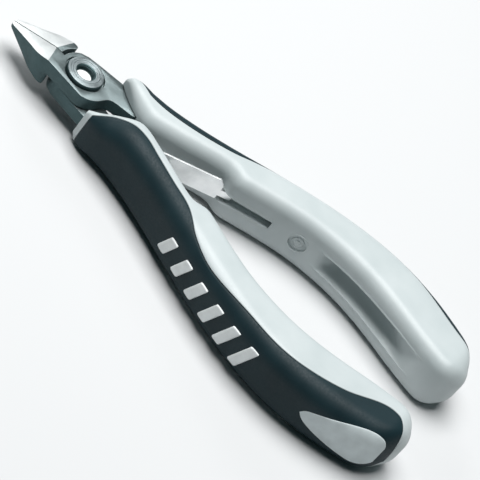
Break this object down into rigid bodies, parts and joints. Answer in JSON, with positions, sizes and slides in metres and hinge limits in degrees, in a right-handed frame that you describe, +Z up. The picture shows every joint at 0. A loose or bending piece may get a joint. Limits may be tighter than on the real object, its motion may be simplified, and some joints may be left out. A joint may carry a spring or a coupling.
{
  "type": "flush cutter",
  "caption": "Small lap-joint flush cutter with pointed ground jaws, curved two-part grips and crossed leaf springs that push the handles open.",
  "frame": {"origin": "on the surface the cutter lies on, under the middle of its box", "axes": "+Y along the tool to the jaw tips, +Z up along the pivot axis, +X to the right handle"},
  "size_m": [0.0546, 0.125, 0.014],
  "materials": {
    "steel": "satin",
    "pivot_steel": "turned",
    "spring_steel": "bright",
    "grip_frame": "satin",
    "soft_panel": "matte",
    "end_pad": "matte",
    "raised_bar": "matte"
  },
  "bodies": {
    "half_a": {"half_a_steel": "steel", "grip_frame_right": "grip_frame", "soft_panel_right": "soft_panel", "end_pad_right": "end_pad", "raised_bar_right_1": "raised_bar", "raised_bar_right_2": "raised_bar", "raised_bar_right_3": "raised_bar", "raised_bar_right_4": "raised_bar", "raised_bar_right_5": "raised_bar", "raised_bar_right_6": "raised_bar", "pivot_screw": "pivot_steel", "pivot_nut": "pivot_steel"},
    "half_b": {"half_b_steel": "steel", "grip_frame_left": "grip_frame", "soft_panel_left": "soft_panel", "end_pad_left": "end_pad", "raised_bar_left_1": "raised_bar", "raised_bar_left_2": "raised_bar", "raised_bar_left_3": "raised_bar", "raised_bar_left_4": "raised_bar", "raised_bar_left_5": "raised_bar", "raised_bar_left_6": "raised_bar"},
    "spring_right": {"leaf_spring_right": "spring_steel"},
    "spring_left": {"leaf_spring_left": "spring_steel"}
  },
  "joints": [
    {"name": "handles", "type": "hinge", "parent": "half_a", "child": "half_b", "pos_m": [0, 0.0429, 0.007], "axis": [0, 0, -1], "range_deg": [0, 10], "stiffness_Nm_per_rad": 0.3, "springref_deg": 20.05},
    {"name": "spring_left_flex", "type": "hinge", "parent": "half_b", "child": "spring_left", "pos_m": [-0.0052, 0.0264, 0.007], "axis": [0, 0, 1], "range_deg": [0, 17]},
    {"name": "spring_right_flex", "type": "hinge", "parent": "half_a", "child": "spring_right", "pos_m": [0.0052, 0.0264, 0.007], "axis": [0, 0, -1], "range_deg": [0, 17]}
  ],
  "couplings": [
    {"joint": "spring_left_flex", "follows": "handles", "ratio": 1.64},
    {"joint": "spring_right_flex", "follows": "handles", "ratio": 1.64}
  ]
}
